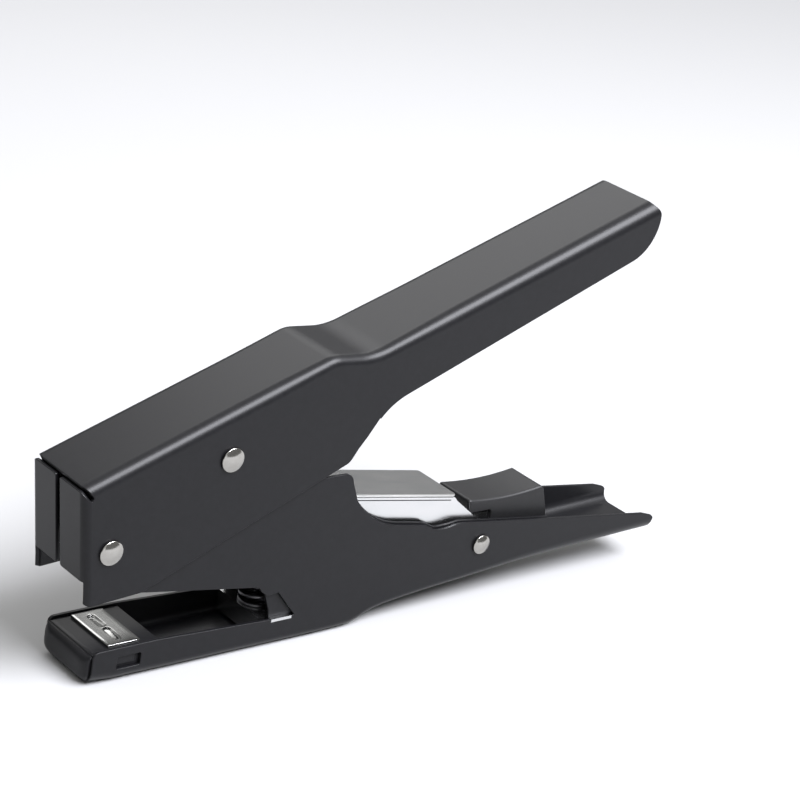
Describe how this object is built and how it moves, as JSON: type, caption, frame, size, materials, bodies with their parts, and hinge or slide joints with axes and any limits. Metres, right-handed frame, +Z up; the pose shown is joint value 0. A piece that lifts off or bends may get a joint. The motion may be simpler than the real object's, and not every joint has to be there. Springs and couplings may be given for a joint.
{
  "type": "plier stapler",
  "caption": "Hand stapler of pressed sheet steel with plier-like squeeze handles, a deep throat over a slim anvil jaw, and a long sprung staple magazine that loads from the rear.",
  "frame": {"origin": "centre of the bounding box in plan, at the height of the jaw's flat underside, with the handles at rest open", "axes": "+X from the jaw towards the handles, +Y across the stapler, +Z up, square to the jaw's underside"},
  "size_m": [0.2015, 0.027, 0.1118],
  "materials": {
    "steel_black": "satin black coating over pressed steel sheet",
    "chrome_plate": "bright plated",
    "nickel_rivet": "nickel plated, satin bright",
    "zinc_sheet": "zinc plated sheet, satin",
    "staple_wire": "galvanised wire, glued in a strip",
    "spring_wire": "oiled spring steel",
    "knob_plastic": "moulded, lightly matt"
  },
  "bodies": {
    "lower_body": {"lower_lever": "steel_black", "inner_channel": "steel_black", "anvil_block": "steel_black", "anvil_plate": "chrome_plate", "fulcrum_spacer": "nickel_rivet", "magazine_pivot_pin": "nickel_rivet", "spring_seat": "zinc_sheet", "lifting_spring": "spring_wire"},
    "upper_body": {"upper_lever": "steel_black", "fulcrum_pin": "nickel_rivet", "push_pin": "nickel_rivet", "push_roller": "nickel_rivet"},
    "magazine": {"magazine_channel": "zinc_sheet", "magazine_cover": "zinc_sheet", "nose_plate": "zinc_sheet", "pivot_sleeve": "nickel_rivet", "arm_pin": "nickel_rivet", "staple_strip": "staple_wire"},
    "driver": {"driver_arm": "steel_black", "driver_blade": "chrome_plate", "driver_rivets": "nickel_rivet", "arm_spring": "spring_wire"},
    "feed": {"feed_rail": "zinc_sheet", "loading_knob": "knob_plastic", "knob_pin": "nickel_rivet", "spring_rod": "zinc_sheet"},
    "pusher": {"staple_pusher": "zinc_sheet", "pusher_spring": "spring_wire"}
  },
  "joints": [
    {"name": "handle_hinge", "type": "hinge", "parent": "lower_body", "child": "upper_body", "pos_m": [-0.09117, 0, 0.0374], "axis": [0, 1, 0], "range_deg": [0, 22], "stiffness_Nm_per_rad": 0.3, "springref_deg": -40.11},
    {"name": "magazine_hinge", "type": "hinge", "parent": "lower_body", "child": "magazine", "pos_m": [0.03233, 0, 0.0168], "axis": [0, 1, 0], "range_deg": [-6.6, 0], "deforming": ["lifting_spring"]},
    {"name": "driver_hinge", "type": "hinge", "parent": "magazine", "child": "driver", "pos_m": [-0.02893, 0, 0.03253], "axis": [0, 1, 0], "range_deg": [-7.7, 0]},
    {"name": "rail_slide", "type": "slide", "parent": "magazine", "child": "feed", "axis": [0.9986, 0, -0.0523], "range_m": [0, 0.1]},
    {"name": "pusher_slide", "type": "slide", "parent": "feed", "child": "pusher", "axis": [0.9986, 0, -0.0523], "range_m": [0, 0.04], "stiffness_N_per_m": 40, "springref_m": -0.03, "deforming": ["pusher_spring"]}
  ],
  "couplings": [
    {"joint": "magazine_hinge", "follows": "handle_hinge", "ratio": -0.3},
    {"joint": "driver_hinge", "follows": "handle_hinge", "ratio": -0.35}
  ]
}
